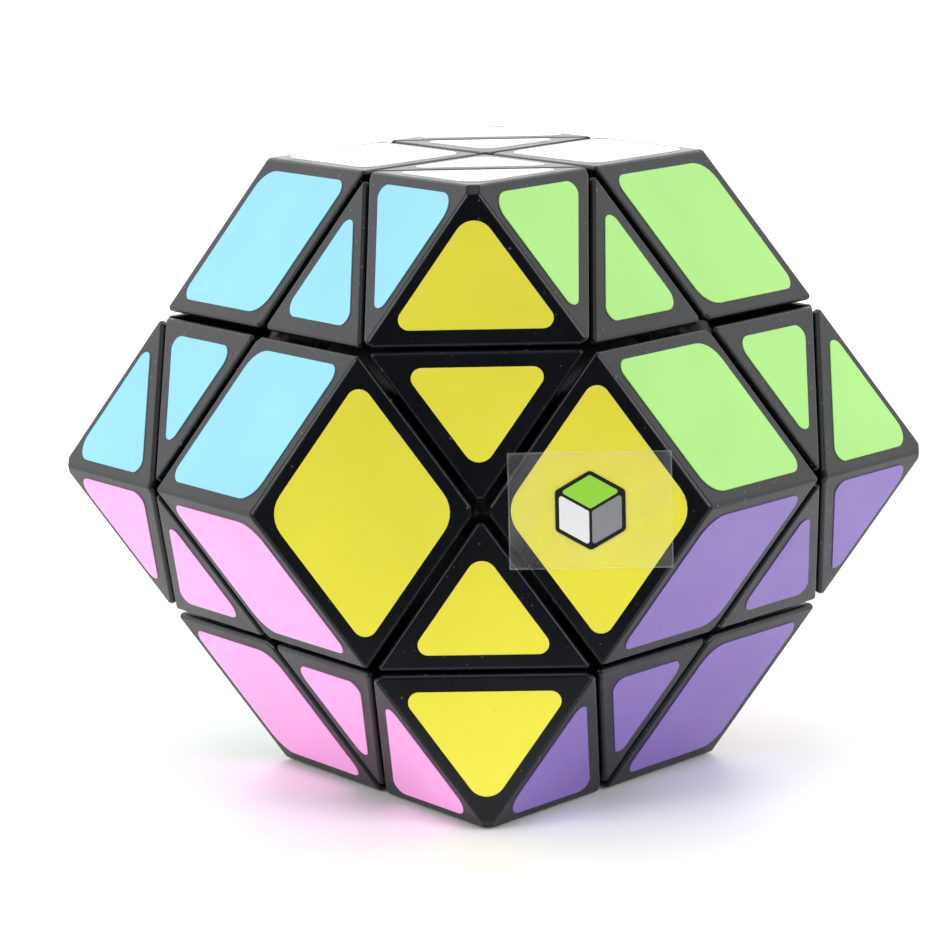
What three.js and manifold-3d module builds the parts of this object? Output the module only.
// A rhombic-dodecahedron twisty puzzle with twelve turning faces.
//
// Six four-colour tips, eight three-colour corners and twenty-four one-colour triangles ride on
// a ball core. Every face turns about a screw through its middle. The pieces are parted by
// twelve cut surfaces, one round each screw: flat and halfway to the face on the outside, and
// conical inside, where a wide foot under a narrow neck hooks each piece beneath its neighbours
// and, in the end, beneath the twelve round hubs that the screws hold down.
//
// Units are millimetres, +Z is up, and the puzzle stands on its bottom face with the origin in
// the middle of that face.
import * as THREE from "three";
import { ConvexGeometry } from "three/addons/geometries/ConvexGeometry.js";
import { mergeVertices } from "three/addons/utils/BufferGeometryUtils.js";
import Module from "manifold-3d";

// ---------------------------------------------------------------- driving dimensions
const ACROSS_FLATS = 68; // between two opposite faces
const GAP = 0.36; // running gap between neighbouring pieces
const TIP_TRIM = 0.7; // the depth to which each four-way tip is cut off square, which blunts it
const NECK_ANGLE = 49; // half-angle of a cut's cone at the necks, in degrees
const FOOT_ANGLE = 52.5; // half-angle of a cut's cone at the feet, in degrees
const FOOT_TOP = 21.35; // radius from the centre where the feet end and the necks begin
const FOOT_SOLE = 17.5; // radius from the centre of the soles that slide on the core
const CORE_RADIUS = 17.2;
const SCREW_RADIUS = 0.95;
const SCREW_HOLE_RADIUS = 1.25; // in the core
const SCREW_HEAD = { radius: 2.1, height: 1.5, under: 26.3 }; // under: from the centre to its underside
const HUB = {
  foot: 15.9, // from the centre to the end that sits in the core
  stemRadius: 2.05,
  headUnder: 21.55,
  headRadius: 3.85,
  shoulder: 25.6, // where the head starts to taper
  shoulderRadius: 4.3,
  top: 28.4,
  topRadius: 3.05,
  boreRadius: 1.3,
  springSeat: 22.9, // floor of the counterbore
  springWellRadius: 2.45,
};
const CORE_SEAT = { radius: 2.4, floor: 15.55 }; // the round recess that a hub's stem turns in
const LABEL = { width: 16.6, height: 11.8, thickness: 0.12, right: 19.5, lift: 0.3 };

// ---------------------------------------------------------------- derived dimensions
const FACE_DISTANCE = ACROSS_FLATS / 2;
const CUT_DISTANCE = FACE_DISTANCE / 2; // a cut plane lies halfway between the centre and its face
const TIP_DISTANCE = FACE_DISTANCE * Math.SQRT2; // from the centre to a four-way tip
const UNIT = TIP_DISTANCE / 2; // a corner lies at one unit along each of the three tip axes
const CLEARANCE = GAP / 2;
const CLEARANCE_ANGLE = THREE.MathUtils.radToDeg(CLEARANCE / FOOT_TOP);
const FAR = TIP_DISTANCE * 2; // well outside the puzzle

const CUT_SEGMENTS = 36; // facets round a cut's cones
const SPHERE_DETAIL = 4;
const SMALL_SEGMENTS = 16; // facets round a screw or a hub
const WELD_DISTANCE = 1e-4;

// The three axes that run tip to tip. The puzzle stands on a face, so two of them lean by 45 degrees.
const TIP_AXES = [
  new THREE.Vector3(1, 0, 0),
  new THREE.Vector3(0, -1, 1).normalize(),
  new THREE.Vector3(0, -1, -1).normalize(),
];

// A point given by its distances, in units, along the three tip axes.
function point(a, b, c) {
  return new THREE.Vector3()
    .addScaledVector(TIP_AXES[0], a * UNIT)
    .addScaledVector(TIP_AXES[1], b * UNIT)
    .addScaledVector(TIP_AXES[2], c * UNIT);
}

// Each face lies midway between two tips, so two unit steps along the tip axes reach its middle.
const FACES = {
  front: [0, 1, 1],
  back: [0, -1, -1],
  top: [0, 1, -1],
  bottom: [0, -1, 1],
  front_upper_left: [-1, 1, 0],
  front_upper_right: [1, 1, 0],
  front_lower_left: [-1, 0, 1],
  front_lower_right: [1, 0, 1],
  back_upper_left: [-1, 0, -1],
  back_upper_right: [1, 0, -1],
  back_lower_left: [-1, -1, 0],
  back_lower_right: [1, -1, 0],
};
const TIPS = {
  front_top: [0, 1, 0],
  front_bottom: [0, 0, 1],
  back_top: [0, 0, -1],
  back_bottom: [0, -1, 0],
  left: [-1, 0, 0],
  right: [1, 0, 0],
};
const CORNERS = {
  front_left: [-1, 1, 1],
  front_right: [1, 1, 1],
  top_left: [-1, 1, -1],
  top_right: [1, 1, -1],
  bottom_left: [-1, -1, 1],
  bottom_right: [1, -1, 1],
  back_left: [-1, -1, -1],
  back_right: [1, -1, -1],
};

// ---------------------------------------------------------------- materials
const plastic = (color, roughness) => new THREE.MeshStandardMaterial({ color, roughness, metalness: 0 });
const BLACK_PLASTIC = plastic(0x141416, 0.35);
const HUB_PLASTIC = plastic(0x1c1c1f, 0.5);
const CORE_PLASTIC = plastic(0xd8d8d4, 0.5);
const STEEL = new THREE.MeshStandardMaterial({ color: 0xb4b6ba, roughness: 0.35, metalness: 1 });
const CLEAR_FILM = plastic(0xf2f4f6, 0.15);
CLEAR_FILM.transparent = true;
CLEAR_FILM.opacity = 0.35;

// ---------------------------------------------------------------- solids
const wasm = await Module();
wasm.setup();

function solidFrom(geometry) {
  const bare = geometry.clone();
  bare.deleteAttribute("normal");
  bare.deleteAttribute("uv");
  const merged = mergeVertices(bare, WELD_DISTANCE);
  return new wasm.Manifold(
    new wasm.Mesh({
      numProp: 3,
      vertProperties: merged.attributes.position.array,
      triVerts: new Uint32Array(merged.index.array),
    }),
  );
}

function meshFrom(name, solid, material) {
  const made = solid.getMesh();
  const geometry = new THREE.BufferGeometry();
  geometry.setAttribute("position", new THREE.BufferAttribute(new Float32Array(made.vertProperties), 3));
  geometry.setIndex(new THREE.BufferAttribute(made.triVerts, 1));
  geometry.computeVertexNormals();
  const mesh = new THREE.Mesh(geometry, material.clone());
  mesh.name = name;
  return mesh;
}

// A solid of revolution. Its profile is a list of [radius, distance along the axis].
function turned(profile, segments, axis) {
  const outline = profile.map(([radius, along]) => new THREE.Vector2(radius, along));
  const upright = new THREE.Vector3(0, 1, 0);
  const turn = new THREE.Quaternion().setFromUnitVectors(upright, axis);
  return solidFrom(new THREE.LatheGeometry(outline, segments).applyQuaternion(turn));
}

const sphere = (radius) => solidFrom(new THREE.IcosahedronGeometry(radius, SPHERE_DETAIL));

// A point at this radius from the centre and this angle from a cut's axis, as [radius, along].
function polar(radius, degrees) {
  const angle = THREE.MathUtils.degToRad(degrees);
  return [radius * Math.sin(angle), radius * Math.cos(angle)];
}

// Everything on a face's side of its cut. The clearance is positive for the pieces that turn with
// the face, which stay inside it, and negative for what is cut away from all other pieces.
function capSolid(axis, side) {
  const footAngle = FOOT_ANGLE - side * CLEARANCE_ANGLE;
  const neckAngle = NECK_ANGLE - side * CLEARANCE_ANGLE;
  const footTop = FOOT_TOP - side * CLEARANCE;
  const plane = CUT_DISTANCE + side * CLEARANCE;
  const neckEnd = plane / Math.cos(THREE.MathUtils.degToRad(neckAngle));
  const profile = [
    [0, 0],
    polar(footTop, footAngle),
    polar(footTop, neckAngle),
    polar(neckEnd, neckAngle),
    [FAR, plane],
    [FAR, FAR],
    [0, FAR],
  ];
  return turned(profile, CUT_SEGMENTS, axis);
}

const CUTS = Object.entries(FACES).map(([name, steps]) => {
  const axis = point(...steps).normalize();
  return { name, axis, inside: capSolid(axis, 1), outside: capSolid(axis, -1) };
});

const sharpShape = solidFrom(
  new ConvexGeometry([
    ...Object.values(TIPS).map((steps) => point(...steps).multiplyScalar(2)),
    ...Object.values(CORNERS).map((steps) => point(...steps)),
  ]),
);
const outerShape = Object.values(TIPS).reduce((solid, steps) => {
  const inwards = point(...steps).normalize().negate();
  return solid.trimByPlane(inwards.toArray(), TIP_TRIM - TIP_DISTANCE);
}, sharpShape);
const soleSphere = sphere(FOOT_SOLE);
const shell = outerShape.subtract(soleSphere);

// The piece that holds a given point: what lies inside every cut that has the point inside it,
// and outside all the others.
function outerPiece(name, inner) {
  let solid = shell;
  for (const cut of CUTS) {
    const turnsWithFace = inner.dot(cut.axis) > CUT_DISTANCE;
    solid = turnsWithFace ? solid.intersect(cut.inside) : solid.subtract(cut.outside);
  }
  return meshFrom(name, solid, BLACK_PLASTIC);
}

function tipPiece(name, steps) {
  return outerPiece(`tip_${name}`, point(...steps).multiplyScalar(1.5));
}

function cornerPiece(name, steps) {
  return outerPiece(`corner_${name}`, point(...steps).multiplyScalar(0.75));
}

// The one-colour triangle on a face, next to one of the face's two tips.
function trianglePiece(faceName, tipName) {
  const between = point(...TIPS[tipName]).multiplyScalar(0.75);
  between.addScaledVector(point(...FACES[faceName]), 0.5);
  return outerPiece(`triangle_${faceName}_by_${tipName}`, between);
}

function tipsOf(faceName) {
  const isOnFace = (tip) => point(...TIPS[tip]).dot(point(...FACES[faceName])) > 0;
  return Object.keys(TIPS).filter(isOnFace);
}

// A round hub: a stem that turns in the core, and a wide head that holds the feet down. The
// stepped hole takes the screw, and a spring under the screw's head.
function hub(name, axis) {
  const profile = [
    [HUB.boreRadius, HUB.foot],
    [HUB.stemRadius, HUB.foot],
    [HUB.stemRadius, HUB.headUnder],
    [HUB.headRadius, HUB.headUnder],
    [HUB.shoulderRadius, HUB.shoulder],
    [HUB.topRadius, HUB.top],
    [HUB.springWellRadius, HUB.top],
    [HUB.springWellRadius, HUB.springSeat],
    [HUB.boreRadius, HUB.springSeat],
    [HUB.boreRadius, HUB.foot],
  ];
  return meshFrom(`hub_${name}`, turned(profile, SMALL_SEGMENTS, axis), HUB_PLASTIC);
}

// The ball, with a round seat and a screw hole under each hub.
function core() {
  const seatProfile = [
    [0, 0],
    [SCREW_HOLE_RADIUS, 0],
    [SCREW_HOLE_RADIUS, CORE_SEAT.floor],
    [CORE_SEAT.radius, CORE_SEAT.floor],
    [CORE_SEAT.radius, FAR],
    [0, FAR],
  ];
  const seats = CUTS.map((cut) => turned(seatProfile, SMALL_SEGMENTS, cut.axis));
  return meshFrom("core", sphere(CORE_RADIUS).subtract(wasm.Manifold.union(seats)), CORE_PLASTIC);
}

// The twelve screws. Their tips run on to the centre of the core, where they join, so that one
// node holds them all.
function screws() {
  const top = SCREW_HEAD.under + SCREW_HEAD.height;
  const profile = [
    [0, 0],
    [SCREW_RADIUS, 0],
    [SCREW_RADIUS, SCREW_HEAD.under],
    [SCREW_HEAD.radius, SCREW_HEAD.under],
    [SCREW_HEAD.radius, top - SCREW_HEAD.height / 3],
    [SCREW_HEAD.radius * 0.75, top],
    [0, top],
  ];
  const all = CUTS.map((cut) => turned(profile, SMALL_SEGMENTS, cut.axis));
  return meshFrom("axis_screws", wasm.Manifold.union(all), STEEL);
}

// The clear film label stuck on the front face of the front right corner. Its two corners next to
// the middle of the face are trimmed where they would reach over the cuts.
function label() {
  const film = new THREE.BoxGeometry(LABEL.width, LABEL.thickness, LABEL.height);
  const proud = FACE_DISTANCE + LABEL.lift + LABEL.thickness / 2;
  film.translate(LABEL.right - LABEL.width / 2, -proud, 0);
  const corner = point(...CORNERS.front_right);
  const neighbours = CUTS.filter((cut) => corner.dot(cut.axis) < CUT_DISTANCE);
  const trimmed = neighbours.reduce((solid, cut) => solid.subtract(cut.outside), solidFrom(film));
  return meshFrom("clear_label", trimmed, CLEAR_FILM);
}

// ---------------------------------------------------------------- assembly
const puzzle = new THREE.Group();
puzzle.position.z = FACE_DISTANCE;
puzzle.add(core(), screws(), label());
for (const cut of CUTS) puzzle.add(hub(cut.name, cut.axis));
for (const [name, steps] of Object.entries(TIPS)) puzzle.add(tipPiece(name, steps));
for (const [name, steps] of Object.entries(CORNERS)) puzzle.add(cornerPiece(name, steps));
for (const face of Object.keys(FACES)) {
  for (const tip of tipsOf(face)) puzzle.add(trianglePiece(face, tip));
}

export default puzzle;
